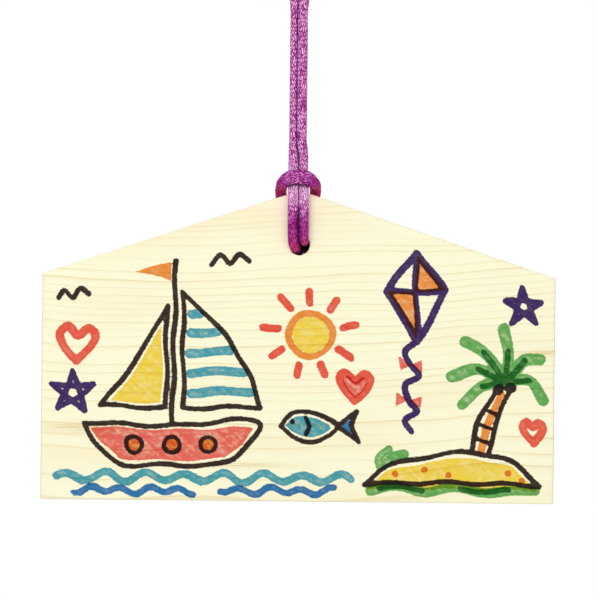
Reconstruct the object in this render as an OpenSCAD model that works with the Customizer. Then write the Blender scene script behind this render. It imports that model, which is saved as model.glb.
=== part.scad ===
// A house-shaped wooden votive plaque that hangs on one doubled, braided cord.
// The middle of the cord is hitched through a hole under the peak of the board, and
// its two ends are knotted together above the eye that goes over a peg.
// Millimetres, +Z up, front face towards -Y, origin at the centre of the hanging eye.

/* [Board] */
// Width from side edge to side edge
board_w = 150; // [80:1:240]
// Height of the two upright side edges
eave_h = 66; // [40:1:140]
// Rise of the peak above the tops of the side edges
roof_rise = 25; // [8:1:70]
// Thickness of the board
board_t = 7; // [4:0.5:9]

/* [Cord hole] */
// Diameter of the hole that the doubled cord goes through
hole_d = 6; // [5.8:0.1:9]
// How far the middle of the hole lies under the peak
hole_drop = 16; // [14:0.5:22]
// Width of the small bevel round both ends of the hole
hole_bevel = 0.3; // [0.1:0.1:1]

/* [Cord] */
// Diameter of the braided cord
cord_d = 2.8; // [1.6:0.1:2.9]
// How far the peak hangs under the middle of the hanging eye
eye_to_peak = 86; // [78:1:200]

/* [Knot] */
// Diameter of the knot
knot_d = 12; // [9:0.5:18]
// Height of the knot
knot_h = 11.5; // [8:0.5:18]

/* [Hidden] */

WOOD = "#f3e6c0";
CORD = "#a0369a";

round_fn = 96;         // facets of the true round shapes
knot_bands = 12;       // bands that the knot's flank is turned from
cord_sides = 8;        // sides of the cord's tube
cut_past = 1;          // how far a cutter runs past the surface it opens

board_h = eave_h + roof_rise;
peak_z = -eye_to_peak;
base_z = peak_z - board_h;
hole_z = peak_z - hole_drop;

// Where the cord's stretches meet each other
eye_top_z = 8.5;       // the underside of the knot
eye_foot_z = -9;       // under the peg
neck_top_rise = 16;    // above the peak
neck_foot_rise = 7;    // above the peak
neck_top_z = peak_z + neck_top_rise;
mid_z = (eye_foot_z + neck_top_z) / 2;
knot_top_z = eye_top_z + knot_h;
knot_entry = 1.45;     // from the knot's axis to the middle of each strand at its ends
knot_flat_r = knot_entry + cord_d / 2 + 0.5;

// The cord's routes, chosen by hand. The left and the right strand hang side by side,
// the right one a little in front, and come together on the way down from the peg.
strand_left = [-1.9, 0.85];
strand_right = [0.4, -0.85];
lower_steps = 4;

// From the knot round the peg, from the eye's centre
eye_left_route = [
    [-knot_entry, 0, eye_top_z], [-knot_entry, 0, 7.2], [-3.1, 0, 4.2],
    [-4.6, 0, 0], [-4, 0.3, -6], [-3.7, 0.4, eye_foot_z]
];
eye_right_route = [
    [knot_entry, 0, eye_top_z], [knot_entry, 0, 7.2], [3.1, 0, 4.2],
    [4.6, 0, 0], [4, -0.3, -6], [3.7, -0.4, eye_foot_z]
];

// From under the peg to where the strands lie together
upper_left_route = [
    [-3.7, 0.4, eye_foot_z], [-3.4, 0.5, -12], [-2.8, 0.7, -21],
    [strand_left.x, strand_left.y, mid_z + 6], [strand_left.x, strand_left.y, mid_z]
];
upper_right_route = [
    [3.7, -0.4, eye_foot_z], [3.4, -0.5, -12], [2.1, -0.7, -21],
    [strand_right.x, strand_right.y, mid_z + 6], [strand_right.x, strand_right.y, mid_z]
];

// From the strands down to just above the hitch, from the peak
neck_left_route = [
    [strand_left.x, strand_left.y, neck_top_rise], [strand_left.x, strand_left.y, 14.5],
    [-2, -0.5, 11.5], [-1.95, -2.2, 9], [-1.95, -3, neck_foot_rise]
];
neck_right_route = [
    [strand_right.x, strand_right.y, neck_top_rise], [strand_right.x, strand_right.y, 14.5],
    [0.8, -1.6, 11.5], [0.9, -2.2, 9], [0.9, -3, neck_foot_rise]
];

// The hitch, from the peak: down the front, through the hole, up the back, over the
// roof on the left, across in front of both strands, and back the same way on the right
hitch_route = [
    [-1.95, -3, neck_foot_rise], [-1.95, -3.8, 5], [-1.95, -4.8, 2], [-1.9, -5.1, -3],
    [-1.9, -5.1, -9], [-1.85, -5.1, -13.4], [-1.7, -4.7, -15.5], [-1.2, -3.3, -16.9],
    [-0.55, 2.8, -17.4], [-0.5, 4.7, -17.95], [-0.55, 5.7, -18], [-0.7, 6.5, -17.4],
    [-0.9, 6.8, -16.5], [-1.4, 6.7, -14.6], [-2.4, 5.9, -12], [-3.6, 5.3, -8.5],
    [-5, 5.1, -4], [-5.6, 4.9, -0.8], [-5.5, 2.6, 0.7], [-5.3, -1.4, 1.4],
    [-5, -5.6, 2.1], [-3.2, -7.3, 3.5], [-0.5, -7.6, 3.9], [2.3, -7.3, 3.4],
    [4, -5.6, 2.1], [4.4, -1.4, 1.4], [4.5, 2.6, 0.9], [4.5, 5, -0.7],
    [3.9, 5.2, -4], [2.8, 5.4, -8.5], [2.1, 6, -12], [2.4, 7.3, -14],
    [2.6, 7.6, -15.5], [2.5, 7.2, -16.5], [2.35, 6.2, -17], [2.1, 5.2, -16.7],
    [1.5, 3.4, -15.5], [1.3, -3.6, -15.1], [1.15, -4.9, -14.3], [1.1, -5.1, -12.6],
    [1.1, -5.1, -8], [1.1, -5.1, -3], [1, -4.8, 2], [0.9, -3.8, 5],
    [0.9, -3, neck_foot_rise]
];

// The two ends above the knot, from the knot's top
tail_left_route = [[-knot_entry, 0, 0], [-knot_entry, 0, 2], [-2.2, -0.4, 6], [-3.9, -0.9, 10.5]];
tail_right_route = [[knot_entry, 0, 0], [knot_entry, 0, 2], [2.6, 0.4, 6], [5, 0.9, 9.5]];

// A straight strand from one height to another
function straight(at, from_z, to_z, steps) =
    [for (i = [0:steps]) [at.x, at.y, from_z + (to_z - from_z) * i / steps]];

// Vector helpers for the cord's sweep
function unit(v) = v / norm(v);
function across(v, along) = unit(v - (v * along) * along);

// The direction of a route at its point i
function heading(route, i) =
    unit(route[min(i + 1, len(route) - 1)] - route[max(i - 1, 0)]);

// One side direction for each point of a route, each turned as little as can be
// from the one before it, so that the tube doesn't wring itself
function sides_along(route, i = 0, side = [1, 0, 0]) =
    i == len(route) ? [] :
    let (here = across(side, heading(route, i)))
    concat([here], sides_along(route, i + 1, here));

// The corners of all rings of a tube, ring after ring
function ring_points(route, r) =
    let (sides = sides_along(route))
    [for (i = [0:len(route) - 1])
        let (a = sides[i], b = cross(heading(route, i), a))
        for (k = [0:cord_sides - 1])
            let (turn = 360 * (k + 0.5) / cord_sides)
            route[i] + r * (cos(turn) * a + sin(turn) * b)];

// Two triangles between each pair of neighbours on two rings
function wall_faces(rings) =
    [for (i = [0:rings - 2], k = [0:cord_sides - 1])
        let (
            near = i * cord_sides + k,
            near_next = i * cord_sides + (k + 1) % cord_sides,
            far = near + cord_sides,
            far_next = near_next + cord_sides
        )
        each [[near, far, near_next], [near_next, far, far_next]]];

// A fan of triangles over each end
function end_faces(rings) =
    let (last = (rings - 1) * cord_sides)
    [for (k = [1:cord_sides - 2])
        each [[0, k, k + 1], [last, last + k + 1, last + k]]];

// A cord of the named diameter along a route
module cord_along(route) {
    color(CORD)
    polyhedron(
        points = ring_points(route, cord_d / 2),
        faces = concat(wall_faces(len(route)), end_faces(len(route)))
    );
}

// The five-sided face of the board, with the peak on the Z axis
module board_outline() {
    polygon([
        [-board_w / 2, base_z], [board_w / 2, base_z],
        [board_w / 2, base_z + eave_h], [0, peak_z], [-board_w / 2, base_z + eave_h]
    ]);
}

// The cutter for the hole, which flares into a bevel at both faces
module hole_cutter() {
    depth = board_t / 2 + cut_past;
    translate([0, 0, hole_z])
    rotate([90, 0, 0]) {
        cylinder(d = hole_d, h = 2 * depth, center = true, $fn = round_fn);
        for (flip = [0, 180])
            rotate([flip, 0, 0])
            translate([0, 0, board_t / 2 - hole_bevel])
            cylinder(
                d1 = hole_d, d2 = hole_d + 2 * (hole_bevel + cut_past),
                h = hole_bevel + cut_past, $fn = round_fn
            );
    }
}

module board() {
    color(WOOD)
    difference() {
        rotate([90, 0, 0])
        linear_extrude(board_t, center = true)
        board_outline();
        hole_cutter();
    }
}

module cord_hitch() {
    translate([0, 0, peak_z])
    cord_along(hitch_route);
}

module cord_neck_left() {
    translate([0, 0, peak_z])
    cord_along(neck_left_route);
}

module cord_neck_right() {
    translate([0, 0, peak_z])
    cord_along(neck_right_route);
}

module cord_lower_left() {
    cord_along(straight(strand_left, mid_z, neck_top_z, lower_steps));
}

module cord_lower_right() {
    cord_along(straight(strand_right, mid_z, neck_top_z, lower_steps));
}

module cord_upper_left() {
    cord_along(upper_left_route);
}

module cord_upper_right() {
    cord_along(upper_right_route);
}

module cord_eye_left() {
    cord_along(eye_left_route);
}

module cord_eye_right() {
    cord_along(eye_right_route);
}

// A round knot with a flat top and underside, where the cord goes in and comes out.
// Its flank follows one arc that meets both flats at their edge.
module cord_knot() {
    half_h = knot_h / 2;
    flank_x = (pow(knot_d / 2, 2) - pow(half_h, 2) - pow(knot_flat_r, 2))
        / (knot_d - 2 * knot_flat_r);
    flank_r = knot_d / 2 - flank_x;
    edge_turn = asin(half_h / flank_r);
    flank = [
        for (i = [0:knot_bands])
            let (turn = edge_turn * (2 * i / knot_bands - 1))
            [flank_x + flank_r * cos(turn), flank_r * sin(turn)]
    ];
    color(CORD)
    translate([0, 0, eye_top_z + half_h])
    rotate_extrude($fn = round_fn)
    polygon(concat([[0, -half_h]], flank, [[0, half_h]]));
}

module cord_tail_left() {
    translate([0, 0, knot_top_z])
    cord_along(tail_left_route);
}

module cord_tail_right() {
    translate([0, 0, knot_top_z])
    cord_along(tail_right_route);
}

board();
cord_hitch();
cord_neck_left();
cord_neck_right();
cord_lower_left();
cord_lower_right();
cord_upper_left();
cord_upper_right();
cord_eye_left();
cord_eye_right();
cord_knot();
cord_tail_left();
cord_tail_right();
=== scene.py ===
"""The looks of a wooden votive plaque that hangs on one doubled, braided cord.

Shapes are worked out in millimetres in the CAD model's own frame (+Z up, front face
towards -Y, origin at the centre of the hanging eye) and written to meshes in metres.
"""
import math

import bmesh
import bpy
import numpy as np
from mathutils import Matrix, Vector
from mathutils.geometry import delaunay_2d_cdt


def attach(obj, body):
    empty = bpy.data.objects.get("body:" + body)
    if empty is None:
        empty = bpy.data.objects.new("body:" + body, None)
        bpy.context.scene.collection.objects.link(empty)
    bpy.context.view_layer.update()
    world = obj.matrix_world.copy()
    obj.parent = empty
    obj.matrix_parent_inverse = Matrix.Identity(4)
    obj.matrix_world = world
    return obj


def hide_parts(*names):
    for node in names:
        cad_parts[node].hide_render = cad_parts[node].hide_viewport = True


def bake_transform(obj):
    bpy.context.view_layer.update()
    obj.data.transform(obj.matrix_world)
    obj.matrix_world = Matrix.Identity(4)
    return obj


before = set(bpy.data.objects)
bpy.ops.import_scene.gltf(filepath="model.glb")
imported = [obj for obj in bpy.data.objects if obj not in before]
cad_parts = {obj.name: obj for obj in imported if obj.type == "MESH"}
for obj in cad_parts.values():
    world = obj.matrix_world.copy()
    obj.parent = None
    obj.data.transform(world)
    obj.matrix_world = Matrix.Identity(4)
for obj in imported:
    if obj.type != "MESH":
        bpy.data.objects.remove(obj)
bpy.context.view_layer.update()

MM = 0.001
SAME = 0.01            # places closer than this are one place

# ---------------------------------------------------------------- sizes from the frame
board_points = np.array([v.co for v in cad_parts["board"].data.vertices]) / MM
board_x, board_y, board_z = board_points.T
half_w = board_x.max()
front_y, back_y = board_y.min(), board_y.max()
base_z, peak_z = board_z.min(), board_z.max()
eave_z = board_z[board_x > half_w - SAME].max()

# The hole's rims lie nearer to the middle line than this, and farther from the peak
# and the lower edge
HOLE_REACH = 5.0
on_hole = (board_z < peak_z - HOLE_REACH) & (board_z > base_z + HOLE_REACH)
on_hole &= np.abs(board_x) < HOLE_REACH
bore_x, bore_z = board_x[on_hole], board_z[on_hole]
hole_z = (bore_z.max() + bore_z.min()) / 2
rim_r = (bore_z.max() - bore_z.min()) / 2
hole_r = np.hypot(bore_x, bore_z - hole_z).min()

# ---------------------------------------------------------------- camera
# The plaque in the photograph: its width, its peak and its slight turn, in pixels
IMAGE_PX = 598
BOARD_WIDTH_PX = 513.3
PEAK_PX = (300.0, 190.3)
TURN_DEG = 0.61        # clockwise
CAMERA_AWAY = 1500.0   # a long lens, far off
SENSOR_MM = 36.0
CLIP_M = (0.05, 20.0)  # the nearest and the farthest that it sees, in metres

px_mm = 2 * half_w / BOARD_WIDTH_PX
view_mm = IMAGE_PX * px_mm


def add_object(name, data):
    made = bpy.data.objects.new(name, data)
    bpy.context.collection.objects.link(made)
    return made


def make_camera():
    turn = math.radians(TURN_DEG)
    right = (IMAGE_PX / 2 - PEAK_PX[0]) * px_mm
    down = (IMAGE_PX / 2 - PEAK_PX[1]) * px_mm
    x = right * math.cos(turn) + down * math.sin(turn)
    z = peak_z - down * math.cos(turn) + right * math.sin(turn)
    data = bpy.data.cameras.new("camera")
    data.sensor_width = SENSOR_MM
    data.lens = SENSOR_MM * CAMERA_AWAY / view_mm
    data.clip_start, data.clip_end = CLIP_M
    camera = add_object("camera", data)
    camera.location = (x * MM, (front_y - CAMERA_AWAY) * MM, z * MM)
    camera.rotation_euler = (math.pi / 2, -turn, 0)
    bpy.context.scene.camera = camera


# ---------------------------------------------------------------- the cord's route
CORD_D = 2.8
KNOT_TOP_Z = 20.0
BELOW_KNOT_Z = 4.5     # the knot and the tails lie above this
EYE_FOOT_Z = -9.0
MID_Z = -39.5
NECK_TOP_Z = -70.0
STRAND_LEFT = (-1.9, 0.85)
STRAND_RIGHT = (0.4, -0.85)

# The CAD model's own route points, in millimetres, from the eye's centre
EYE_LEFT = [(-3.1, 0, 4.2), (-4.6, 0, 0), (-4, 0.3, -6), (-3.7, 0.4, EYE_FOOT_Z)]
EYE_RIGHT = [(3.1, 0, 4.2), (4.6, 0, 0), (4, -0.3, -6), (3.7, -0.4, EYE_FOOT_Z)]
UPPER_LEFT = [
    (-3.7, 0.4, EYE_FOOT_Z), (-3.4, 0.5, -12), (-2.8, 0.7, -21),
    (*STRAND_LEFT, MID_Z + 6), (*STRAND_LEFT, MID_Z),
]
UPPER_RIGHT = [
    (3.7, -0.4, EYE_FOOT_Z), (3.4, -0.5, -12), (2.1, -0.7, -21),
    (*STRAND_RIGHT, MID_Z + 6), (*STRAND_RIGHT, MID_Z),
]
# From the knot's top
TAIL_LEFT = [(-2.2, -0.4, 6), (-3.9, -0.9, 10.5)]
TAIL_RIGHT = [(2.6, 0.4, 6), (5, 0.9, 9.5)]

# The neck and the hitch, from the peak. After each point come the half width and the
# half thickness of the cord there, the lean of its wide side (0 along X, 90 upright,
# 180 along -X), how far it is pressed towards +Y and its place on the scale of
# CORD_PAINTED_LIGHT_STAGES, from painted light under the hitch's bar to painted shade
# inside the hole.
HALF_WIDTH, HALF_THICK, LEAN, PRESSED, STAGE = range(3, 8)
NECK_LEFT = [
    (*STRAND_LEFT, 16, 1.4, 1.4, 180, 0, 0), (*STRAND_LEFT, 14.5, 1.4, 1.4, 180, 0, 0),
    (-2, -0.5, 11.5, 1.42, 1.4, 180, 0, 0), (-1.95, -2.2, 9, 1.46, 1.36, 180, 0, 0),
    (-1.95, -3, 7, 1.52, 1.32, 180, -0.2, -0.2),
]
NECK_RIGHT = [
    (*STRAND_RIGHT, 16, 1.4, 1.4, 0, 0, 0), (*STRAND_RIGHT, 14.5, 1.4, 1.4, 0, 0, 0),
    (0.8, -1.6, 11.5, 1.4, 1.4, 0, 0, 0), (0.9, -2.2, 9, 1.38, 1.36, 0, 0, 0),
    (0.9, -3, 7, 1.38, 1.32, 0, -0.2, -0.2),
]
HITCH = [
    (-1.95, -3, 7, 1.52, 1.32, 180, -0.2, -0.2), (-1.95, -3.8, 5, 1.54, 1.3, 180, -0.2, -0.5),
    (-1.95, -4.8, 2, 1.58, 1.28, 180, 0.1, -0.9), (-1.9, -5.1, -3, 1.6, 1.28, 180, 0.2, -0.6),
    (-1.9, -5.1, -9, 1.6, 1.28, 180, 0.2, 0.9), (-1.85, -5.1, -13.4, 1.56, 1.28, 180, 0.1, 1.2),
    (-1.7, -4.7, -15.5, 1.5, 1.28, 180, 0, 1.8), (-1.2, -3.3, -16.9, 1.5, 1.28, 180, 0, 2.4),
    (-0.55, 2.8, -17.4, 1.5, 1.3, 180, 0, 3), (-0.5, 4.7, -17.95, 1.7, 1.45, 180, 0, 3),
    (-0.55, 5.7, -18, 1.7, 1.45, 180, 0, 2.2), (-0.7, 6.5, -17.4, 1.55, 1.38, 180, 0, 1.5),
    (-0.9, 6.8, -16.5, 1.5, 1.34, 180, 0, 1), (-1.4, 6.7, -14.6, 1.5, 1.32, 180, 0, 0.8),
    (-2.4, 5.9, -12, 1.5, 1.3, 180, 0, 0.7), (-3.6, 5.3, -8.5, 1.52, 1.3, 180, -0.2, 0.7),
    (-5, 5.1, -4, 1.6, 1.25, 180, -0.2, 1.2), (-5.6, 4.9, -0.8, 1.65, 1.22, 180, -0.1, 1.9),
    (-5.5, 2.6, 0.7, 1.68, 1.2, 178, 0, 2), (-5.3, -1.4, 1.4, 1.7, 1.2, 165, 0, 1.8),
    (-5, -5.6, 2.1, 1.75, 1.15, 135, 0.2, 1.4), (-3.2, -7.3, 3.5, 2, 1.08, 108, 0.4, 0.6),
    (-0.5, -7.6, 3.9, 2.12, 1.05, 90, 0.5, 0.6), (2.3, -7.3, 3.4, 2, 1.08, 72, 0.4, 0.6),
    (4, -5.6, 2.1, 1.75, 1.15, 45, 0.2, 1.4), (4.4, -1.4, 1.4, 1.7, 1.2, 15, 0, 1.8),
    (4.5, 2.6, 0.9, 1.66, 1.2, 2, 0, 2), (4.5, 5, -0.7, 1.6, 1.22, 0, -0.1, 1.9),
    (3.9, 5.2, -4, 1.55, 1.25, 0, -0.2, 1.2), (2.8, 5.4, -8.5, 1.5, 1.3, 0, -0.2, 0.7),
    (2.1, 6, -12, 1.48, 1.3, 0, -0.1, 0.7), (2.4, 7.3, -14, 1.5, 1.36, 0, 0, 0.8),
    (2.6, 7.6, -15.5, 1.55, 1.45, 0, 0, 1), (2.5, 7.2, -16.5, 1.62, 1.6, 0, 0, 1.6),
    (2.35, 6.2, -17, 1.66, 1.75, 0, 0, 2.4), (2.1, 5.2, -16.7, 1.6, 1.7, 0, 0, 3),
    (1.5, 3.4, -15.5, 1.44, 1.3, 0, 0, 3), (1.3, -3.6, -15.1, 1.42, 1.15, 0, 0, 2.6),
    (1.15, -4.9, -14.3, 1.45, 1.2, 0, 0, 1.7), (1.1, -5.1, -12.6, 1.5, 1.25, 0, 0.1, 1.2),
    (1.1, -5.1, -8, 1.52, 1.28, 0, 0.2, 0.7), (1.1, -5.1, -3, 1.52, 1.28, 0, 0.2, -0.6),
    (1, -4.8, 2, 1.5, 1.28, 0, 0.1, -0.9), (0.9, -3.8, 5, 1.42, 1.3, 0, -0.2, -0.5),
    (0.9, -3, 7, 1.38, 1.32, 0, -0.2, -0.2),
]

# The left strand's way up through the tied knot, from the knot's middle. The right
# strand goes the same way turned half round the Y axis.
KNOT_Z = 15.5
KNOT_LEFT = [
    (-1.5, 0, -8.5), (-1.7, -0.1, -6.2), (-3.5, -0.5, -4.7), (-4.5, -1.2, -2.7),
    (-4.3, -1.8, -0.5), (-3.9, -2.8, 1.6), (-2.4, -3.8, 3.1), (-0.2, -3.7, 3.7),
    (1.4, -2.2, 3.2), (1.4, -0.1, 2.3), (-0.4, 1.2, 1.6), (-2.8, 1.1, 1.4),
    (-5, 0.4, 1.3), (-6.8, -1, 0.8), (-6.8, -3.2, 0), (-5.1, -4.6, -0.5),
    (-2.8, -4.4, -0.5), (-1.3, -3, 0.5), (-1.1, -1.5, 2.3), (-1.3, -0.5, 4.4),
    (-1.4, 0, 6.7),
]
KNOT_RIGHT = [(-x, y, -z) for x, y, z in KNOT_LEFT[::-1]]

RING_STEP = 0.2        # between the rings of the cord's mesh
RING_SIDES = 84
STRAND_STEPS = 4       # of a straight strand's route
SEAL_LENGTH = 0.9      # of the melted tip at each end
SEAL_TIP = 0.02        # the share of the cord's radius that is left at its very end

# The braid
YARNS = 14             # each way round
LEAD = 18.0            # along the cord, in which one yarn goes once round
CYCLE = 4              # yarns that one yarn crosses, over two and under two
YARN_RELIEF = 0.14
YARN_ROUND = 0.85      # the height of a yarn's round top
YARN_WAVE = 0.35       # how far it rises and falls as it goes over and under
YARN_LEVEL = 0.8       # the height that lies at the cord's own radius
WOBBLE = 0.3           # how far the yarns stray from their rule, in widths of a yarn
# The waves of each way's straying: times round the cord, turn along it, start and share
STRAY_P = [(3, 0.9, 0, 1.0), (2, -2.3, 1, 0.7)]
STRAY_Q = [(2, -1.1, 2, 1.0), (3, 1.9, 0, 0.7)]

# The painted shade between two runs of the cord, under the hitch's bar and in the hole
RUN_APART = 2.5 * CORD_D     # along the cord, from which it is another run
RUN_NEAR = 2.0 * CORD_D      # between the middles of two runs that paint shade on each other
RUN_RINGS = 15         # rings each way that are measured on the nearest run
CREASE_NEAR = 0.7      # a crease is this much open where its painted shade begins
CREASE_WIDE = 1.6      # and on the darker stages, where the painted shade reaches wider, this much
WIDE_SHADE_STAGE = 0.25         # the stage from which that counts in full
UNDER_BAR_STAGE = -0.1        # the stage below which the strands lie under the hitch's bar, in painted light
BAR_FOOT = 1.75        # the lower edge of that bar, over the peak
BAR_MIDDLE = -0.5
BAR_BOW = 0.07         # how the edge drops away from there
BAR_SHADE = 0.75       # how far below it the painted shadow of the bar reaches on the strands
BAR_HIDES = 1.5        # how far above it the bar hides them
FRONT_SIDE = 0.8       # in front of a strand's middle, from where the painted shadow is full
HOLE_SHADE_STAGE = 3            # the stage of painted shade on the cord inside the hole
OUT_OF_HOLE = 1.2      # how far behind the board its stage of painted shade falls by as much


def rounded(points, lean):
    """Route points of a cord that nothing presses on."""
    return [(*p, CORD_D / 2, CORD_D / 2, lean, 0, 0) for p in points]


def raised(points, rise):
    return [(x, y, z + rise, *rest) for x, y, z, *rest in points]


def steps(points):
    """The distance from each point to the next."""
    return np.linalg.norm(np.diff(points, axis=0), axis=1)


def summed(lengths):
    return np.concatenate([[0], np.cumsum(lengths)])


def without_repeats(points):
    """The points without those that say the same place as the one before."""
    kept = [points[0]]
    for p in points[1:]:
        if math.dist(p[:3], kept[-1][:3]) > SAME:
            kept.append(p)
    return kept


def smooth_line(controls, step):
    """A centripetal Catmull-Rom curve through the control rows, about step apart, and
    the index of each control row on it."""
    rows = np.array(controls, float)
    rows = np.vstack([2 * rows[0] - rows[1], rows, 2 * rows[-1] - rows[-2]])
    knots = summed(np.sqrt(steps(rows[:, :3])))
    line, marks = [], []
    for i in range(1, len(rows) - 2):
        marks.append(len(line))
        count = max(2, math.ceil(np.linalg.norm(rows[i + 1, :3] - rows[i, :3]) / step))
        t = np.linspace(knots[i], knots[i + 1], count, endpoint=False)[:, None]
        k = knots[i - 1:i + 3]
        p = rows[i - 1:i + 3]
        for low, high in ((k[:3], k[1:]), (k[:2], k[2:]), (k[1:2], k[2:3])):
            p = [
                ((b - t) * before + (t - a) * after) / (b - a)
                for a, b, before, after in zip(low, high, p, p[1:])
            ]
        line.extend(p[0])
    marks.append(len(line))
    line.append(rows[-2])
    return np.array(line), marks


def strand(tail, knot, eye, upper, middle, neck, lean):
    """The route of one strand, from the tip of its tail down to the hitch."""
    lower = [
        (*middle, MID_Z + (NECK_TOP_Z - MID_Z) * i / STRAND_STEPS)
        for i in range(STRAND_STEPS + 1)
    ]
    return (
        raised(rounded(tail, lean), KNOT_TOP_Z)[::-1]
        + raised(rounded(knot, lean), KNOT_Z)[::-1]
        + rounded(eye + upper + lower, lean) + raised(neck, peak_z)
    )


def whole_cord():
    """The cord from its left end to its right end: its rows about RING_STEP apart, how
    far along it each row lies, and the rows where its stretches meet."""
    left = strand(TAIL_LEFT, KNOT_LEFT, EYE_LEFT, UPPER_LEFT, STRAND_LEFT, NECK_LEFT, 180)
    right = strand(TAIL_RIGHT, KNOT_RIGHT, EYE_RIGHT, UPPER_RIGHT, STRAND_RIGHT, NECK_RIGHT, 0)
    controls = without_repeats(left + raised(HITCH, peak_z) + right[::-1])
    line, marks = smooth_line(controls, RING_STEP / 4)
    gone = summed(steps(line[:, :3]))
    rings = math.ceil(gone[-1] / RING_STEP) + 1
    at = np.linspace(0, gone[-1], rings)
    rows = np.stack([np.interp(at, gone, line[:, k]) for k in range(line.shape[1])], 1)

    heights = [row[2] for row in controls]
    half = len(controls) // 2

    def place(z, first, last):
        found = min(range(first, last), key=lambda i: abs(heights[i] - z))
        return int(round(gone[marks[found]] / gone[-1] * (rings - 1)))

    # Above the peak the left strand only comes down and the right one only goes up,
    # apart from the knot, which lies above all of these heights
    below_knot = [i for i, z in enumerate(heights) if z < BELOW_KNOT_Z]
    cuts = [0]
    cuts += [place(z, below_knot[0], half) for z in (EYE_FOOT_Z, MID_Z, NECK_TOP_Z)]
    cuts += [place(z, half, below_knot[-1] + 1) for z in (NECK_TOP_Z, MID_Z, EYE_FOOT_Z)]
    cuts += [rings - 1]
    return rows, at, cuts


def unit(v):
    return v / np.linalg.norm(v, axis=-1, keepdims=True)


def cord_frames(centres):
    """The direction of the cord at each ring and two directions across it, which turn
    with the cord but never round it."""
    along = unit(np.gradient(centres, axis=0))
    side = np.zeros_like(centres)
    now = np.array([1.0, 0, 0])
    for i, t in enumerate(along):
        now = side[i] = unit(now - (now @ t) * t)
    return along, side, np.cross(along, side)


def stray(waves, turn, gone):
    angle = math.tau * turn
    return WOBBLE * sum(
        share * np.sin(times * angle + along * gone + start)
        for times, along, start, share in waves
    )


def braid_place(turn, gone):
    """The braid's p and q at a share of the way round and a length along the cord."""
    return (
        YARNS * (turn + gone / LEAD) + stray(STRAY_P, turn, gone),
        YARNS * (turn - gone / LEAD) + stray(STRAY_Q, turn, gone),
    )


def braid_height(p, q):
    """The height of the yarns, from about 0 in the gaps to 1 on top of a yarn. The
    yarns of one way follow whole numbers of p, the others those of q."""
    heights = []
    for across, other, turn in ((p, q, 0), (q, p, 1)):
        yarn = np.floor(across)
        bulge = np.sqrt(np.clip(1 - (2 * (across - yarn) - 1) ** 2, 0, 1))
        wave = np.sin(math.tau * (other - yarn - turn) / CYCLE)
        heights.append(YARN_ROUND * bulge + YARN_WAVE * wave)
    return np.maximum(np.maximum(*heights), 0)


def fall(away, reach):
    """1 where away is 0 or less, and from there down to 0 at reach and beyond."""
    return 1 - np.clip(away / reach, 0, 1)


def seal_share(at):
    """How far each ring is into the melted tips: 0 on the cord, 1 at its very ends."""
    return fall(np.minimum(at, at[-1] - at), SEAL_LENGTH)


def cord_rings(rows, at):
    """The middles of all rings, and the points round them."""
    centres = rows[:, :3].copy()
    along, side, other = cord_frames(centres)
    centres[:, 1] += rows[:, PRESSED]
    lean = np.radians(rows[:, LEAN])
    wide_way = np.stack([np.cos(lean), np.zeros_like(lean), np.sin(lean)], 1)
    wide_way = unit(wide_way - (wide_way * along).sum(1, keepdims=True) * along)
    thin_way = np.cross(along, wide_way)

    seal = seal_share(at)[:, None]
    round_off = np.sqrt(np.clip(1 - seal ** 2, SEAL_TIP ** 2, 1))
    turn = (np.arange(RING_SIDES) / RING_SIDES)[None, :]
    angle = math.tau * turn
    way = (
        np.cos(angle)[..., None] * side[:, None]
        + np.sin(angle)[..., None] * other[:, None]
    )
    c = (way * wide_way[:, None]).sum(-1) / rows[:, HALF_WIDTH, None]
    s = (way * thin_way[:, None]).sum(-1) / rows[:, HALF_THICK, None]
    reach = 1 / np.sqrt(c ** 2 + s ** 2)
    height = braid_height(*braid_place(turn, at[:, None]))
    relief = YARN_RELIEF * (height - YARN_LEVEL) * (1 - seal)
    reach = (reach + relief) * round_off
    return centres, centres[:, None] + reach[..., None] * way


def off_axis(points, axis):
    """How far each point lies outside a cord that runs along the axis points."""
    return np.linalg.norm(points[:, None] - axis[None], axis=2).min(1) - CORD_D / 2


def painted_crease_shading(centres, rings, at, stage):
    """How much painted shade each point of the rings gets in a crease between two runs of
    the cord, from 0 to 1, and under the hitch's bar. On the darker stages the painted shade
    reaches wider."""
    depth = np.zeros(rings.shape[:2])
    for i, centre in enumerate(centres):
        gaps = np.linalg.norm(centres - centre, axis=1)
        gaps[np.abs(at - at[i]) < RUN_APART] = np.inf
        j = int(gaps.argmin())
        if gaps[j] > RUN_NEAR:
            continue
        nearest = centres[max(0, j - RUN_RINGS):j + RUN_RINGS + 1]
        depth[i] = fall(off_axis(rings[i], nearest), CREASE_NEAR)
        if stage[i] > 0:
            wide = fall(off_axis(rings[i], centres[gaps < RUN_NEAR]), CREASE_WIDE)
            depth[i] = np.maximum(depth[i], wide * min(stage[i] / WIDE_SHADE_STAGE, 1))
    return np.maximum(depth, painted_bar_shadow(centres, rings) * (stage < UNDER_BAR_STAGE)[:, None])


def painted_bar_shadow(centres, rings):
    """A painted shadow of the hitch's front bar on the strands' front side: how close each
    point lies to the bar's lower edge, from 0 well below it to 1 at the edge and behind it."""
    edge = peak_z + BAR_FOOT - BAR_BOW * (rings[..., 0] - BAR_MIDDLE) ** 2
    below = edge - rings[..., 2]
    to_front = np.clip((centres[:, 1, None] - rings[..., 1]) / FRONT_SIDE, 0, 1)
    return to_front * fall(below, BAR_SHADE) * (below > -BAR_HIDES)


def mesh_object(name, points_mm, faces):
    mesh = bpy.data.meshes.new(name)
    mesh.from_pydata((np.asarray(points_mm) * MM).tolist(), [], faces)
    mesh.validate()
    return add_object(name, mesh)


def add_values(mesh, name, values):
    layer = mesh.attributes.new(name, "FLOAT", "POINT")
    layer.data.foreach_set("value", np.asarray(values, np.float32))


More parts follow.
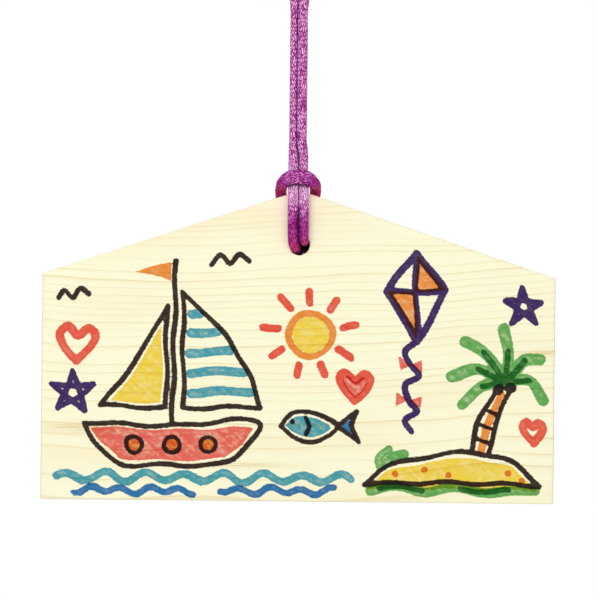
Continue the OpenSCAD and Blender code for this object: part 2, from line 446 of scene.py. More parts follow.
def cord_piece(name, centres, rings, at, values, first, last):
    """One closed stretch of the cord, from ring first to ring last, with its share of
    the values that are given by name for the points of all rings."""
    spans = last - first
    points = rings[first:last + 1].reshape(-1, 3)
    points = np.vstack([points, centres[first], centres[last]])
    # Each face, and the side and the ring that each of its corners lies at
    faces, places = [], []
    for i in range(spans):
        near, far = i * RING_SIDES, (i + 1) * RING_SIDES
        for k in range(RING_SIDES):
            n = (k + 1) % RING_SIDES
            faces.append((near + k, near + n, far + n, far + k))
            places += [(k, i), (k + 1, i), (k + 1, i + 1), (k, i + 1)]
    end_a, end_b = len(points) - 2, len(points) - 1
    for k in range(RING_SIDES):
        n = (k + 1) % RING_SIDES
        faces += [(end_a, n, k), (end_b, far + k, far + n)]
        places += [(k, 0), (k + 1, 0), (k, 0)]
        places += [(k, spans), (k, spans), (k + 1, spans)]
    made = mesh_object(name, points, faces)
    mesh = made.data
    smooth = np.arange(len(faces)) < spans * RING_SIDES
    mesh.polygons.foreach_set("use_smooth", smooth)
    layer = mesh.uv_layers.new(name="braid")
    side, ring = np.array(places).T
    uv = np.stack(braid_place(side / RING_SIDES, at[first + ring]), 1)
    layer.uv.foreach_set("vector", uv.astype(np.float32).ravel())
    for key, given in values.items():
        here = given[first:last + 1].ravel()
        add_values(mesh, key, np.concatenate([here, here[[0, -1]]]))
    return made


def make_cord():
    """The cord's pieces and the points that each follows, by name."""
    rows, at, cuts = whole_cord()
    centres, rings = cord_rings(rows, at)
    # Painted shade of the hole: darkest inside it, less so the farther the cord lies behind the
    # board
    behind = np.clip(rings[..., 1] - back_y, 0, OUT_OF_HOLE)
    values = {
        "seal": np.repeat(seal_share(at)[:, None], RING_SIDES, axis=1),
        "stage": np.minimum(rows[:, STAGE, None], HOLE_SHADE_STAGE - behind),
        "painted_crease_shade": painted_crease_shading(centres, rings, at, rows[:, STAGE]),
    }
    names = [
        "cord_end_left", "cord_strand_upper_left", "cord_strand_lower_left", "cord_hitched",
        "cord_strand_lower_right", "cord_strand_upper_right", "cord_end_right",
    ]
    pieces = {}
    for name, first, last in zip(names, cuts[:-1], cuts[1:]):
        piece = cord_piece(name, centres, rings, at, values, first, last)
        pieces[name] = (piece, rows[first:last + 1, :3] * MM)
    return pieces


def declare_cords(pieces):
    """Bakes the cord's stretches in place and hides the CAD model's nodes that they replace."""
    sides = ("left", "right")
    stretches = [
        # piece, CAD nodes, body above, body below, blend from and to, far end
        *((f"cord_end_{side}", ["cord_knot", f"cord_tail_{side}", f"cord_eye_{side}"],
           "hanger", "upper_strands", 4, -7, "knot") for side in sides),
        *((f"cord_strand_upper_{side}", [f"cord_upper_{side}"],
           "upper_strands", "lower_strands", -12, -24, "object") for side in sides),
        *((f"cord_strand_lower_{side}", [f"cord_lower_{side}"],
           "lower_strands", "neck", -41, -68.5, "object") for side in sides),
        ("cord_hitched", ["cord_hitch", "cord_neck_left", "cord_neck_right"],
         "neck", "plaque", -71, -79, "object"),
    ]
    for name, nodes, above, below, from_z, to_z, far_end in stretches:
        piece, path = pieces[name]
        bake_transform(piece)
        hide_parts(*nodes)


# ---------------------------------------------------------------- the board
EDGE_R = 0.4           # of the eased edges
CORNER_R = 0.7         # of the board's corners, seen from the front
CORNER_STEPS = 4
FRONT_GRID = 0.5       # between the points inside the front face
BACK_GRID = 1.5
GRID_CLEAR = 0.4       # of a grid step, between these points and the faces' edges
EDGE_STEP = 0.5
RIM_STEPS = 3          # faces across each eased edge
WALL_STEPS = 10
HOLE_SIDES = 96
RINGS_TESTED = 200     # about how many of the outline's sides inside_by looks at
MERGE = 0.004          # points of the board closer than this become one
# The waves of the edge's wander: height, length along the edge over 2 pi, and start
EDGE_WAVES = [(0.04, 9.0, 0), (0.03, 3.7, 1), (0.015, 1.3, 0)]


def edge_wander(s):
    """How far the sawn and sanded edge lies from its true line, s along the edge."""
    return sum(high * math.sin(s / long + start) for high, long, start in EDGE_WAVES)


def outline(inset):
    """The board's outline, inset by that much, anticlockwise as seen from the front."""
    corners = np.array([
        (-half_w, base_z), (half_w, base_z), (half_w, eave_z), (0, peak_z), (-half_w, eave_z)
    ])
    arcs, centres = [], []
    for i, corner in enumerate(corners):
        before, after = corners[i - 1], corners[(i + 1) % len(corners)]
        normal_in, normal_out = (
            unit(np.array([way[1], -way[0]])) for way in (corner - before, after - corner)
        )
        middle = unit(normal_in + normal_out)
        centre = corner - middle * CORNER_R / (middle @ normal_in)
        start = math.atan2(normal_in[1], normal_in[0])
        bend = math.acos(min(1, normal_in @ normal_out))
        ways = [start + bend * k / CORNER_STEPS for k in range(CORNER_STEPS + 1)]
        arcs.append([
            centre + np.array([math.cos(a), math.sin(a)]) * (CORNER_R - inset) for a in ways
        ])
        centres.append(centre)
    # Each arc, and the straight stretch to the next
    full = []
    for i, arc in enumerate(arcs):
        following = (i + 1) % len(arcs)
        start, end = arc[-1], arcs[following][0]
        count = max(1, round(np.linalg.norm(centres[following] - centres[i]) / EDGE_STEP))
        full += arc + [start + (end - start) * k / count for k in range(1, count)]
    full = np.array(full)
    # A little wander inwards, the same at each inset
    out = unit(full - full.mean(0))
    wander = np.array([edge_wander(EDGE_STEP * i) for i in range(len(full))])
    return full - out * np.abs(wander)[:, None]


def hole_ring(radius, torn):
    """The hole's edge at one depth, torn wider by that share, most along the grain."""
    a = math.tau * np.arange(HOLE_SIDES) / HOLE_SIDES
    wander = 0.10 * np.sin(3 * a + 0.5) + 0.08 * np.sin(7 * a + 2) + 0.08 * np.cos(a) ** 6
    r = radius + torn * wander
    return np.stack([r * np.cos(a), hole_z + r * np.sin(a)], 1)


def inside_by(points, ring, margin):
    """Which points lie inside a convex ring, at least margin from its edge."""
    inside = np.ones(len(points), bool)
    corners = ring[::max(1, len(ring) // RINGS_TESTED)]
    for a, b in zip(corners, np.roll(corners, -1, axis=0)):
        d = b - a
        n = np.array([-d[1], d[0]]) / max(np.linalg.norm(d), 1e-9)
        inside &= (points - a) @ n > margin
    return inside


def off_hole(spots):
    return np.hypot(spots[:, 0], spots[:, 1] - hole_z)


def filled_face(ring, hole, grid):
    """Triangles that fill the outline but for the hole, with points grid apart."""
    clear = grid * GRID_CLEAR
    xs = np.arange(-half_w + grid / 2, half_w, grid)
    zs = np.arange(base_z + grid / 2, peak_z, grid)
    spots = np.stack(np.meshgrid(xs, zs), -1).reshape(-1, 2)
    spots = spots[inside_by(spots, ring, clear)]
    spots = spots[off_hole(spots) > off_hole(hole).max() + clear]
    points = np.vstack([ring, hole, spots])
    n, m = len(ring), len(hole)
    edges = [(i, (i + 1) % n) for i in range(n)]
    edges += [(n + i, n + (i + 1) % m) for i in range(m)]
    made = delaunay_2d_cdt(points.tolist(), edges, [], 0, 1e-5)
    flat, faces = np.array(made[0]), np.array(made[2])
    faces = faces[off_hole(flat[faces].mean(1)) > off_hole(hole).min() * 0.98]
    a, b, c = (flat[faces[:, i]] for i in range(3))
    ab, ac = b - a, c - a
    turn = ab[:, 0] * ac[:, 1] - ab[:, 1] * ac[:, 0]
    faces[turn < 0] = faces[turn < 0][:, ::-1]
    return flat, faces


def eased_wall(depth, ease, at_edge, at_wall):
    """How a cut edge goes through the board: the place across it and the depth at each
    ring, with a rounded ease at both faces and a straight wall between."""
    quarter = [math.pi / 2 * k / RIM_STEPS for k in range(RIM_STEPS + 1)]
    rim = [
        (at_edge + (at_wall - at_edge) * math.sin(a), ease * (1 - math.cos(a))) for a in quarter
    ]
    wall = [
        (at_wall, ease + (depth - 2 * ease) * k / WALL_STEPS) for k in range(1, WALL_STEPS)
    ]
    return rim + wall + [(across, depth - y) for across, y in rim[::-1]]


def make_board():
    bm = bmesh.new()

    def add(points, y, faces):
        places = np.stack([points[:, 0], np.broadcast_to(y, len(points)), points[:, 1]], 1)
        verts = [bm.verts.new(place) for place in (places * MM).tolist()]
        for face in faces:
            bm.faces.new([verts[i] for i in face])

    deep = back_y - front_y
    rings = [
        (outline(inset), front_y + y) for inset, y in eased_wall(deep, EDGE_R, EDGE_R, 0)
    ]
    bevel = rim_r - hole_r
    hole_rings = [
        (hole_ring(r, (r - hole_r) / bevel), front_y + y)
        for r, y in eased_wall(deep, bevel, rim_r, hole_r)
    ]

    for end, grid, turn in ((0, FRONT_GRID, 1), (-1, BACK_GRID, -1)):
        flat, faces = filled_face(rings[end][0], hole_rings[end][0], grid)
        add(flat, rings[end][1], faces[:, ::turn].tolist())
    for rows, turn in ((rings, 1), (hole_rings, -1)):
        n = len(rows[0][0])
        points = np.vstack([ring for ring, _ in rows])
        y = np.repeat([depth for _, depth in rows], n)
        faces = []
        for i in range(len(rows) - 1):
            for k in range(n):
                a, b = i * n + k, i * n + (k + 1) % n
                faces.append((a, a + n, b + n, b)[::turn])
        add(points, y, faces)

    bmesh.ops.remove_doubles(bm, verts=bm.verts, dist=MERGE * MM)
    bmesh.ops.recalc_face_normals(bm, faces=bm.faces)
    for face in bm.faces:
        face.smooth = True
    mesh = bpy.data.meshes.new("board_wood")
    bm.to_mesh(mesh)
    bm.free()
    return add_object("board_wood", mesh)


# ---------------------------------------------------------------- the drawing
# A made-up seaside picture in felt pen. Places are in millimetres on the front face: x
# from the middle to the right, h up from the bottom edge.
NO_INK = 4.0           # the farthest from an ink that is told apart
HAND_SHAKE = 0.35
CURVE_STEP = 1.0
WAVE_STEP = 1.5


def curve(points, closed=False):
    """A smooth run of places through the given ones."""
    if closed:
        points = points + points[:1]
    rows = [(x, 0, h) for x, h in points]
    line, _ = smooth_line(rows, CURVE_STEP)
    return line[:, [0, 2]]


def to_run(spots, run):
    """The distance of each spot from a run of places."""
    away = np.full(len(spots), np.inf)
    for a, b in zip(run[:-1], run[1:]):
        d = b - a
        share = np.clip((spots - a) @ d / max(d @ d, 1e-9), 0, 1)
        away = np.minimum(away, np.linalg.norm(spots - a - share[:, None] * d, axis=1))
    return away


def within(spots, run):
    """Which spots lie inside a closed run."""
    inside = np.zeros(len(spots), bool)
    for a, b in zip(run, np.roll(run, -1, axis=0)):
        if a[1] == b[1]:
            continue
        crosses = (spots[:, 1] > a[1]) != (spots[:, 1] > b[1])
        x = a[0] + (spots[:, 1] - a[1]) * (b[0] - a[0]) / (b[1] - a[1])
        inside ^= crosses & (spots[:, 0] < x)
    return inside


def bent(width, *points):
    """A pen line with corners."""
    run = np.array(points, float)
    return run, lambda spots: to_run(spots, run) - width / 2


def stroke(width, *points):
    """A pen line through places, smooth."""
    return bent(width, *curve(list(points)))


def area(*points, smooth=False):
    """A place filled in with the pen."""
    run = curve(list(points), True) if smooth else np.array(points + points[:1], float)

    def away(spots):
        d = to_run(spots, run)
        return np.where(within(spots, run[:-1]), -d, d)
    return run, away


def loop(x, h, r, sides=20, start=0.0):
    """Places on a circle, the first one again at the end."""
    ways = [math.tau * (start + k / sides) for k in range(sides + 1)]
    return [(x + r * math.cos(a), h + r * math.sin(a)) for a in ways]


def ring_of(width, x, h, r):
    return bent(width, *loop(x, h, r))


def dot(x, h, r):
    return area(*loop(x, h, r, 12)[:-1])


def heart(x, h, size):
    shape = [(0, -1), (-0.75, -0.2), (-0.95, 0.45), (-0.55, 0.85), (0, 0.4), (0.55, 0.85),
             (0.95, 0.45), (0.75, -0.2), (0, -1)]
    return [(x + size * a, h + size * b) for a, b in shape]


def star(x, h, size):
    return [loop(x, h, size, 5, 0.25)[k * 2 % 5] for k in range(6)]


def waves(width, from_x, to_x, h, high, length, start):
    x = np.linspace(from_x, to_x, round((to_x - from_x) / WAVE_STEP) + 1)
    return bent(width, *zip(x, h + high * np.sin(math.tau * (x / length + start))))


HULL = [(-62, 22.6), (-37, 21.8), (-11, 23), (-15, 16.5), (-20.5, 11.4), (-37, 10.4), (-53, 11),
        (-58.5, 16)]
HULL_FILL = [(-60.3, 21.4), (-37, 20.6), (-12.9, 21.7), (-16.4, 16.4), (-21.5, 12.4),
             (-37, 11.5), (-52.3, 12.1), (-57, 16.3)]
PORTHOLES = [(-48, 16.4), (-37, 16), (-26, 16.6)]
MAIN_SAIL = [(-33.8, 61), (-33.4, 27), (-10.6, 27.6), (-15.8, 40), (-24.2, 51.5), (-33.8, 61)]
JIB = [(-38.6, 56.5), (-38.4, 27), (-58, 27.6), (-50.4, 37), (-43.8, 47), (-38.6, 56.5)]
JIB_FILL = [(-39.8, 51.5), (-39.8, 28.4), (-55, 28.8), (-49, 36.6), (-43, 45.6)]
FISH = [(-5, 22), (-1, 25.6), (5, 26.2), (12, 22), (5, 17.8), (-1, 18.4)]
FISH_FILL = [(-3.6, 22), (-0.4, 24.4), (5, 24.8), (10, 22), (5, 19.2), (-0.4, 19.6)]
ISLAND = [(20, 5.4), (27, 10.6), (38, 13.6), (52, 14.8), (63, 12), (71, 5.4)]
PALM_TOP = (60, 35)
PALM_LEAVES = [
    [(52.5, 39.6), (45, 36.6)], [(54.5, 44.5), (48.6, 47)], [(61.6, 44.5), (60, 51.5)],
    [(66.6, 42), (71, 42.6)], [(67.4, 36.4), (71.4, 30.6)], [(53.6, 34.6), (48, 28.6)],
]
KITE = [(34, 73), (43, 62), (34.6, 47), (25.6, 61.4), (34, 73)]
KITE_MIDDLE = (34.3, 61.8)
SUN = (3.5, 49)
RAYS = 9
RAY_FROM, RAY_TO = 9.4, 13.2    # from the sun's middle
RAY_WIDTH = 2.3


def ray(k):
    far = RAY_TO + 0.8 * math.sin(5 * k)
    return bent(RAY_WIDTH, *(loop(*SUN, r, RAYS, 0.03)[k] for r in (RAY_FROM, far)))


# Each ink: its name, how it shows on the wood, how patchily it covers, and what it draws
INKS = [
    ("yellow", (238, 207, 66), 0.25, [
        area(*JIB_FILL), dot(*SUN, 5.4), area(*[(x, h - 1.4) for x, h in ISLAND]),
        *(dot(*middle, 1.7) for middle in PORTHOLES),
    ]),
    ("orange", (231, 138, 50), 0.2, [
        area((-37, 69.4), (-47.5, 67), (-37, 64)), ring_of(2.0, *SUN, 6.3),
        area(KITE[0], KITE[1], KITE_MIDDLE), area(KITE[2], KITE[3], KITE_MIDDLE),
        area((52, 15), (54.2, 23), (59.2, 33), (60.8, 32), (56.4, 22.6), (54.4, 15)),
        *(dot(x, h, 1.0) for x, h in ((29, 8.2), (37, 10), (44, 7.8), (62, 8.6), (66, 6.8))),
    ]),
    ("salmon", (226, 100, 86), 0.32, [
        area(*HULL_FILL), area(*heart(16.5, 34, 3.6)[:-1], smooth=True),
        area((33, 40.4), (29.4, 42.6), (29.6, 38.4)), area((33, 40.4), (36.6, 42.2), (36.4, 38.2)),
        area((32.4, 29.8), (28.8, 32), (29, 27.8)), area((32.4, 29.8), (36, 31.6), (35.8, 27.6)),
    ]),
    ("teal", (68, 155, 168), 0.25, [
        *(bent(2.7, (-31.6, h), (x, h + 0.5)) for h, x in (
            (31.6, -13.6), (37.4, -16.2), (43.2, -19.6), (49, -23.8), (54.4, -29))),
        area(*FISH_FILL, smooth=True), waves(2.3, -70, 16, 6.8, 1.3, 11.5, 0.1),
    ]),
    ("blue", (36, 110, 166), 0.15, [
        waves(2.0, -65, -30, 2.9, 0.9, 8.5, 0.3), waves(2.0, -22, 11, 3.1, 0.9, 9.0, 0.1),
        area((13, 22), (16.6, 25), (15.4, 22), (16.6, 19)),
    ]),
    ("green", (92, 166, 80), 0.3, [
        *(stroke(3.3, PALM_TOP, *leaf) for leaf in PALM_LEAVES),
        stroke(2.8, (21.5, 3.6), (30, 4.6), (38, 3.4), (47, 4.4), (57, 3.2), (70, 4.2)),
        stroke(2.6, (24.6, 10.6), (24, 13.2), (26.4, 15.4)),
        stroke(2.6, (26, 11), (28.4, 13.4), (31, 14)),
    ]),
    ("leaf", (54, 138, 66), 0.25, [
        *(stroke(1.7, PALM_TOP, leaf[0]) for leaf in PALM_LEAVES),
        stroke(1.6, (24, 4), (31, 4.6), (37, 3.8)), stroke(1.6, (48, 4.2), (55, 3.6), (62, 3.8)),
    ]),
    ("red", (226, 84, 62), 0.12, [
        *(ray(k) for k in range(RAYS)), stroke(2.5, *heart(-64.5, 46, 5.2)),
        stroke(2.3, *heart(16.5, 34, 4.6)), stroke(2.4, *heart(69, 21, 3.2)),
    ]),
    ("purple", (58, 31, 92), 0.05, [
        bent(2.1, *KITE), bent(1.9, KITE[0], KITE_MIDDLE, KITE[2]), bent(1.9, KITE[1], KITE[3]),
        stroke(1.9, KITE[2], (31.4, 43.6), (33, 40.4), (35.4, 37.6), (31, 34.6), (32.4, 29.8),
               (35, 26.6), (31.6, 23.6), (33.4, 20.6)),
        bent(1.7, *star(-66, 31.5, 6.4)), bent(1.7, *star(65.6, 57.4, 5.8)),
    ]),
    ("dark", (46, 29, 22), 0.05, [
        stroke(1.5, *HULL, HULL[0]), bent(1.6, (-36.6, 22.4), (-36, 70)),
        bent(1.5, *MAIN_SAIL[:3]), stroke(1.5, *MAIN_SAIL[2:]),
        bent(1.5, *JIB[:3]), stroke(1.5, *JIB[2:]),
        *(ring_of(1.3, *middle, 2.3) for middle in PORTHOLES),
        stroke(1.4, *FISH, FISH[0]),
        bent(1.4, (12, 22), (17.6, 26.4), (16, 22), (17.6, 17.6), (12, 22)),
        dot(-1.2, 23, 0.8), stroke(1.3, (2.6, 24.6), (3.8, 22), (2.6, 19.6)),
        stroke(1.5, *ISLAND), stroke(1.5, ISLAND[0], (45, 6), ISLAND[-1]),
        stroke(1.5, (50.6, 15), (52.8, 23.6), (58.4, 33.4)),
        stroke(1.5, (55.8, 15), (57.6, 22.6), (61.8, 32.4)),
        bent(1.2, (52.4, 18.8), (55.6, 18)), bent(1.2, (53.6, 23), (57, 22)),
        bent(1.2, (55.6, 27.6), (58.8, 26.2)),
        dot(58.6, 33.2, 1.7), dot(62, 33.6, 1.7),
        stroke(1.5, (-70.4, 58.6), (-68.4, 61.2), (-66, 59), (-63.6, 62), (-61, 60.2)),
        stroke(1.5, (-26, 68.6), (-23.2, 71.6), (-20.6, 69.2), (-17.8, 72.2), (-14.6, 70.4)),
    ]),
]
# Soft-edged spots on the wood, by x, h, half length and half height: dark streaks of the
# grain, and painted pink light reflected from the cord beside its strands
STREAKS = [(-62, 21, 13, 1.6), (73, 44, 8, 1.1), (-18, 10.5, 16, 1.0)]
PAINTED_CORD_REFLECTION_SPOT = (-0.4, 86, 5.2, 9)


def of_vertices(mesh, what):
    """The place or the normal of each vertex, as Blender stores it."""
    rows = np.zeros(len(mesh.vertices) * 3, np.float32)
    mesh.vertices.foreach_get(what, rows)
    return rows.reshape(-1, 3)


def add_drawing(board):
    """The distance of each point of the front face from each ink, below 0 inside it, where
    the wood is streaked, and where it has painted pink light reflected from the cord."""
    mesh = board.data
    places = of_vertices(mesh, "co") / MM
    spots = places[:, [0, 2]] - [0, base_z]
    on_front = places[:, 1] < front_y + EDGE_R
    x, h = spots.T.copy()
    shaken = spots + HAND_SHAKE * np.stack([
        np.sin(h / 3.1 + 1.3 * np.sin(x / 5.3)), np.sin(x / 2.7 + 1.1 * np.sin(h / 4.7)),
    ], 1)
    for name, _, _, shapes in INKS:
        away = np.full(len(spots), NO_INK)
        for run, distance in shapes:
            low, high = run.min(0) - NO_INK, run.max(0) + NO_INK
            near = on_front & ((shaken > low) & (shaken < high)).all(1)
            away[near] = np.minimum(away[near], distance(shaken[near]))
        add_values(mesh, "ink_" + name, away)

    def soft_spot(at_x, at_h, long, high):
        return np.exp(-((x - at_x) / long) ** 2 - ((h - at_h) / high) ** 2)
    add_values(mesh, "streak", np.clip(sum(soft_spot(*streak) for streak in STREAKS), 0, 1))
    add_values(mesh, "painted_cord_reflection", soft_spot(*PAINTED_CORD_REFLECTION_SPOT) * on_front)


def add_end_grain(board):
    """How much of each point's face cuts across the grain, which runs along X."""
    add_values(board.data, "end_grain", np.abs(of_vertices(board.data, "normal")[:, 0]))


# ---------------------------------------------------------------- materials
def reckoned(what):
    return lambda self, other: self.nodes.math(what, self, other)


class Value:
    """A node's output, which is reckoned with like a number."""

    def __init__(self, nodes, socket):
        self.nodes = nodes
        self.socket = socket

    __add__ = reckoned("ADD")
    __sub__ = reckoned("SUBTRACT")
    __mul__ = reckoned("MULTIPLY")
    __truediv__ = reckoned("DIVIDE")
    __pow__ = reckoned("POWER")

    def __rsub__(self, other):
        return self.nodes.math("SUBTRACT", other, self)


class Nodes:
    """An emptied node tree, with short ways to add nodes."""

    def __init__(self, tree):
        self.tree = tree
        tree.nodes.clear()

    def node(self, kind, **settings):
        made = self.tree.nodes.new(kind)
        for key, value in settings.items():
            setattr(made, key, value)
        return made

    def put(self, value, target):
        """Links a Value to an input, or sets a plain value there."""
        if isinstance(value, Value):
            self.tree.links.new(value.socket, target)
        else:
            target.default_value = value

    def value(self, kind, inputs=(), output=0, **settings):
        """A node's output, with the node's inputs given by name or number."""
        made = self.node(kind, **settings)
        for key, given in dict(inputs).items():
            self.put(given, made.inputs[key])
        return Value(self, made.outputs[output])

    def math(self, what, *values):
        return self.value("ShaderNodeMath", enumerate(values), operation=what)

    def choose(self, share, a, b):
        return self.value("ShaderNodeMix", {0: share, 2: a, 3: b}, data_type="FLOAT")

    def mix(self, share, a, b, way="MIX"):
        inputs = {0: share, 6: a, 7: b}
        return self.value("ShaderNodeMix", inputs, 2, data_type="RGBA", blend_type=way)

    def step(self, value, low, high):
        inputs = {"Value": value, "From Min": low, "From Max": high}
        return self.value("ShaderNodeMapRange", inputs, interpolation_type="SMOOTHSTEP")

    def vector(self, *values):
        return self.value("ShaderNodeCombineXYZ", enumerate(values))

    def split(self, vector):
        made = self.node("ShaderNodeSeparateXYZ")
        self.put(vector, made.inputs[0])
        return [Value(self, socket) for socket in made.outputs]

    def noise(self, place, scales, detail=2.0, rough=0.5):
        """Noise at a place of one to three values, each with its own scale."""
        spot = self.vector(*(value * scale for value, scale in zip(place, scales)))
        inputs = {"Vector": spot, "Scale": 1.0, "Detail": detail, "Roughness": rough}
        return self.value("ShaderNodeTexNoise", inputs)

    def sway(self, place, scales, high, detail=2.0, rough=0.5):
        """Noise that goes as far below 0 as above it."""
        return (self.noise(place, scales, detail, rough) - 0.5) * high

    def value_of(self, name):
        return self.value("ShaderNodeAttribute", (), "Fac", attribute_name=name)


class Shader(Nodes):
    """A material of one surface shader."""

    def __init__(self, name):
        self.material = bpy.data.materials.new(name)
        self.material.use_nodes = True
        super().__init__(self.material.node_tree)
        self.surface = self.node("ShaderNodeBsdfPrincipled")
        self.output = self.node("ShaderNodeOutputMaterial")
        self.show(Value(self, self.surface.outputs["BSDF"]))

    def show(self, shader):
        self.put(shader, self.output.inputs["Surface"])

    def finish(self, shade, rough, specular):
        self.put(shade, self.surface.inputs["Base Color"])
        self.surface.inputs["Roughness"].default_value = rough
        self.surface.inputs["Specular IOR Level"].default_value = specular

    def bump(self, height, distance, strength):
        inputs = {"Height": height, "Distance": distance, "Strength": strength}
        self.put(self.value("ShaderNodeBump", inputs), self.surface.inputs["Normal"])


def colour(red, green, blue):
    """A colour given as it shows on a screen, 0 to 255, turned linear."""
    def linear(v):
        v /= 255
        return v / 12.92 if v <= 0.04045 else ((v + 0.055) / 1.055) ** 2.4
    return (linear(red), linear(green), linear(blue), 1.0)


# The cord's colours in the gaps (painted shade), on the yarns and on their tops (painted
# highlights), at stages of painted light and shade: lit under the hitch's bar (-1), plain
# (0), turned away from the light (1), in the hitch's shade (2) and in the hole's shade (3)
CORD_PAINTED_LIGHT_STAGES = [
    (colour(156, 78, 140), colour(222, 148, 206), colour(255, 212, 246)),
    (colour(80, 0, 64), colour(176, 52, 152), colour(255, 182, 240)),
    (colour(80, 4, 68), colour(150, 34, 126), colour(200, 78, 176)),
    (colour(80, 4, 38), colour(186, 42, 114), colour(224, 80, 152)),
    (colour(8, 1, 3), colour(18, 3, 8), colour(30, 6, 14)),
]
# Painted shade in the creases between runs of the cord and under the hitch's bar
CORD_PAINTED_CREASE_SHADE = colour(48, 0, 36)
CORD_SEAL = colour(92, 22, 78)
CORD_ROUGH = 0.6
CORD_SPECULAR = 0.03
CORD_BUMP = 0.00008
FIBRE_FINE = (11.0, 0.5)       # of a yarn's fibres, across it and along it
PATCHES = (0.22, 0.22)         # of random patches that lie higher and lower on the stages
PATCHY = 1.3                   # how many stages apart they are at most


def yarn_height(s, across, other, turn):
    """The height that braid_height gives the yarns of one way, as nodes, and a chance
    value for each place where a yarn lies on top."""
    yarn = s.math("FLOOR", across)
    off = s.math("ABSOLUTE", s.math("FRACT", across) - 0.5) * 2.0
    bulge = s.math("SQRT", 1.0 - off ** 2.0)
    way = other - yarn - turn
    wave = s.math("SINE", way * (math.tau / CYCLE))
    spot = s.vector(yarn, s.math("FLOOR", way / CYCLE), turn)
    chance = s.value(
        "ShaderNodeTexWhiteNoise", {"Vector": spot}, "Value", noise_dimensions="3D"
    )
    return bulge * YARN_ROUND + wave * YARN_WAVE, chance


def cord_material():
    s = Shader("satin_braid")
    p, q, _ = s.split(s.value("ShaderNodeUVMap", uv_map="braid"))
    height_p, chance_p = yarn_height(s, p, q, 0)
    height_q, chance_q = yarn_height(s, q, p, 1)
    height = s.math("MAXIMUM", height_p, height_q)
    p_on_top = s.math("GREATER_THAN", height_p, height_q)
    chance = s.choose(p_on_top, chance_q, chance_p)
    fibre_p = s.noise((p, q), FIBRE_FINE, 3.0, 0.65)
    fibre_q = s.noise((q, p), FIBRE_FINE, 3.0, 0.65)
    fibre = s.choose(p_on_top, fibre_q, fibre_p)

    # From painted shade in the gaps up to painted highlights on the yarns' tops, which shine
    # by chance and by their fibres
    crown = s.step(height, 0.6, 1.12) * (chance * 0.5 + 0.5)
    tone = crown + (fibre - 0.5) * 0.6
    # Each point's stage of painted light and shade, moved up and down in random patches
    stage = s.value_of("stage") + s.sway((p, q), PATCHES, PATCHY)
    colours = CORD_PAINTED_LIGHT_STAGES[0]
    for i, following in enumerate(CORD_PAINTED_LIGHT_STAGES[1:]):
        share = s.step(stage, i - 1, i)
        colours = [s.mix(share, now, after) for now, after in zip(colours, following)]
    painted_gap_shade, body, painted_highlight = colours
    shade = s.mix(s.step(tone, 0.05, 0.4), painted_gap_shade, body)
    shade = s.mix(s.step(tone, 0.42, 0.8), shade, painted_highlight)
    # Painted shade in the creases and under the hitch's bar
    shade = s.mix(s.value_of("painted_crease_shade") * 0.9, shade, CORD_PAINTED_CREASE_SHADE)
    shade = s.mix(s.step(s.value_of("seal"), 0.0, 0.35), shade, CORD_SEAL)
    s.finish(shade, CORD_ROUGH, CORD_SPECULAR)
    s.bump(fibre, CORD_BUMP, 0.6)
    return s.material


WOOD_PALE = colour(253, 250, 217)
WOOD_LINE = colour(224, 198, 136)
WOOD_WARM = colour(247, 229, 180)
WOOD_END = colour(222, 190, 138)
# Painted pink light reflected from the cord onto the wood beside it
WOOD_PAINTED_CORD_REFLECTION = colour(255, 232, 212)
WOOD_ROUGH = 0.6
WOOD_SPECULAR = 0.15
WOOD_BUMP = 0.00006
RING_WIDTH = 1.6
PITH_Y = 58.0          # the middle of the log lies this far behind the board
PITH_Z = -190.0        # and a little under it
PITH_RISE = 0.00045    # how fast the log's middle rises towards the right
LEVEL_X = 15.0         # to the left of the middle, as far as it is level
PITH_SWAY = 9.0        # how far it wanders
RIPPLE = 1.3           # how far a ring strays from round
RING_UNEVEN = 3.0      # how many rings more or fewer lie where they are close or wide


def wood_material():
    s = Shader("pale_softwood")
    here = [v * (1 / MM) for v in s.split(s.value("ShaderNodeTexCoord", (), "Object"))]
    x, y, z = here

    # Year rings round the log's wandering middle: a slow band, then a thin dark line
    sway = s.sway(here, (0.012, 0.012, 0.012), PITH_SWAY, rough=0.4)
    rise = s.math("MAXIMUM", x + LEVEL_X, 0.0) ** 2.0 * PITH_RISE
    up = z - PITH_Z + sway - rise
    back = y - PITH_Y
    radius = s.math("SQRT", up ** 2.0 + back ** 2.0) + s.sway(here, (0.035, 0.1, 0.1), RIPPLE)
    ring = radius / RING_WIDTH + s.noise([radius], [0.14]) * RING_UNEVEN
    inner = s.math("FRACT", ring)
    ends = 1.0 - s.step(inner, 0.95, 1.0)
    band = inner ** 4.0 * ends
    thin = s.step(inner, 0.86, 0.95) * ends
    weight = s.noise((s.math("FLOOR", ring), x), (3.7, 0.008), 1.0)
    line = (band * 0.5 + thin * 0.5) * s.step(weight, 0.25, 0.7)

    fibre = s.noise(here, (0.1, 5.0, 5.0), 3.0, 0.6)
    cloud = s.noise(here, (0.015, 0.1, 0.09))
    shade = WOOD_PALE
    for share, tint in (
        (line * 0.75, WOOD_LINE),
        (s.step(fibre, 0.5, 0.8) * 0.25, WOOD_WARM),
        (s.step(cloud, 0.45, 0.8) * 0.34, WOOD_WARM),
        (s.value_of("streak") * s.step(fibre, 0.3, 0.7), WOOD_LINE),
        # painted pink light reflected from the cord
        (s.value_of("painted_cord_reflection") * 0.8, WOOD_PAINTED_CORD_REFLECTION),
        (s.value_of("end_grain") * 0.5, WOOD_END),
    ):
        shade = s.mix(share, shade, tint)
    s.finish(with_inks(s, shade, here), WOOD_ROUGH, WOOD_SPECULAR)
    s.bump(fibre * 0.7 - line, WOOD_BUMP, 0.5)
    return s.material


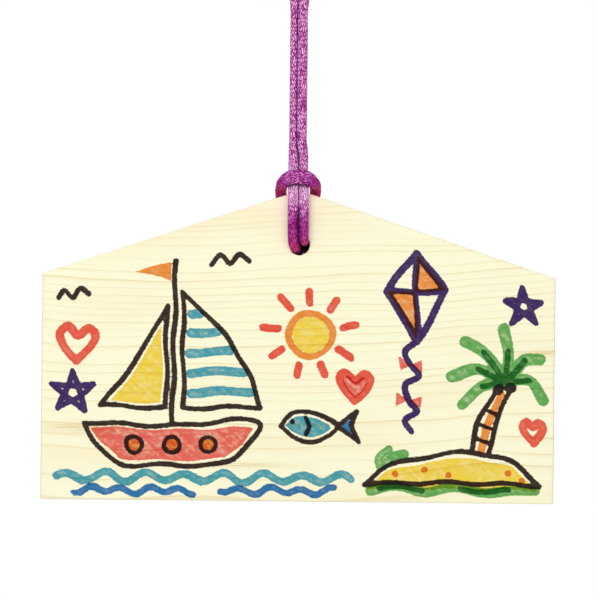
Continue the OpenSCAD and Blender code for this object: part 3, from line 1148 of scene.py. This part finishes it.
def with_inks(s, shade, here):
    """Felt pen on the bare wood: it runs a little along the grain at its edges, covers
    unevenly, most so well inside, and lets the grain show through."""
    run = s.sway(here, (0.9, 1.0, 2.6), 0.75, 3.0, 0.65)
    mottle = s.noise(here, (0.55, 1.0, 0.9), 3.0, 0.6)
    x, _, z = here
    passes = s.noise((x * 0.9 + z, x), (0.55, 0.05))
    thin = s.step(mottle * 0.6 + passes * 0.4, 0.42, 0.7)
    for name, tint, patchy, _ in INKS:
        away = s.value_of("ink_" + name) + run
        inside = 1.0 - s.step(away, -0.12, 0.14)
        core = 1.0 - s.step(away, -1.3, -0.3)
        cover = inside * (1.0 - thin * (core + 0.35) * patchy)
        shade = s.mix(cover, shade, ink_on_wood(tint), "MULTIPLY")
    return shade


def ink_on_wood(tint):
    """What the wood's colour is multiplied by, to show as that tint."""
    return [min(1.0, ink / wood) for ink, wood in zip(colour(*tint), WOOD_PALE)]


# ---------------------------------------------------------------- floor and light
FLOOR_Z = -240.0
FLOOR_R = 420.0
FLOOR_SIDES = 96
FLOOR_FADE = (0.45, 0.97)      # of the radius, from where to where it fades
FLOOR_COLOUR = (0.86, 0.86, 0.85, 1)
WHITE = (1, 1, 1, 1)
WORLD_FILL = 0.46
# Lamps: name, place in metres, size and power
LAMPS = [
    ("key", (-0.35, -0.8, 0.45), 0.9, 5.6),
    ("fill", (0.7, -0.9, -0.05), 0.8, 1.8),
    ("back", (0.45, 0.85, 0.35), 0.9, 3.4),
]


def make_floor():
    """A pale round floor under the hanging plaque, which fades into the background."""
    ring = [(x, y, FLOOR_Z) for x, y in loop(0, 0, FLOOR_R, FLOOR_SIDES)[:-1]]
    floor = mesh_object("floor", ring, [tuple(range(FLOOR_SIDES))])
    s = Shader("floor")
    s.finish(FLOOR_COLOUR, 0.9, 0.0)
    x, y, _ = s.split(s.value("ShaderNodeTexCoord", (), "Object"))
    out = s.math("SQRT", x ** 2.0 + y ** 2.0)
    fade = s.step(out, *(share * FLOOR_R * MM for share in FLOOR_FADE))
    surface = Value(s, s.surface.outputs[0])
    white = s.value("ShaderNodeEmission", {"Color": WHITE, "Strength": 1.0})
    s.show(s.value("ShaderNodeMixShader", {0: fade, 1: surface, 2: white}))
    floor.data.materials.append(s.material)


def make_world():
    """White to the camera and in reflections, and a soft fill for the rest."""
    world = bpy.data.worlds.new("studio")
    world.use_nodes = True
    bpy.context.scene.world = world
    s = Nodes(world.node_tree)
    rays = s.node("ShaderNodeLightPath").outputs
    seen = Value(s, rays["Is Camera Ray"])
    for kind in ("Is Glossy Ray", "Is Transmission Ray"):
        seen = s.math("MAXIMUM", seen, Value(s, rays[kind]))
    white, fill = (
        s.value("ShaderNodeBackground", {"Color": WHITE, "Strength": strength})
        for strength in (1.0, WORLD_FILL)
    )
    both = s.value("ShaderNodeMixShader", {0: seen, 1: fill, 2: white})
    s.put(both, s.node("ShaderNodeOutputWorld").inputs["Surface"])


def make_lamp(name, place, size, power):
    """A round lamp that points at the board's middle."""
    data = bpy.data.lights.new(name, "AREA")
    data.shape = "DISK"
    data.size = size
    data.energy = power
    lamp = add_object(name, data)
    lamp.location = place
    target = Vector((0, 0, (peak_z + base_z) / 2 * MM))
    lamp.rotation_euler = (target - lamp.location).to_track_quat("-Z", "Y").to_euler()


bpy.context.scene.view_settings.view_transform = "Standard"
make_camera()
cords = make_cord()
declare_cords(cords)
board = make_board()
add_end_grain(board)
add_drawing(board)
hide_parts("board")
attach(board, "plaque")
board.data.materials.append(wood_material())
braid = cord_material()
for piece, _ in cords.values():
    piece.data.materials.append(braid)
make_floor()
make_world()
for lamp in LAMPS:
    make_lamp(*lamp)
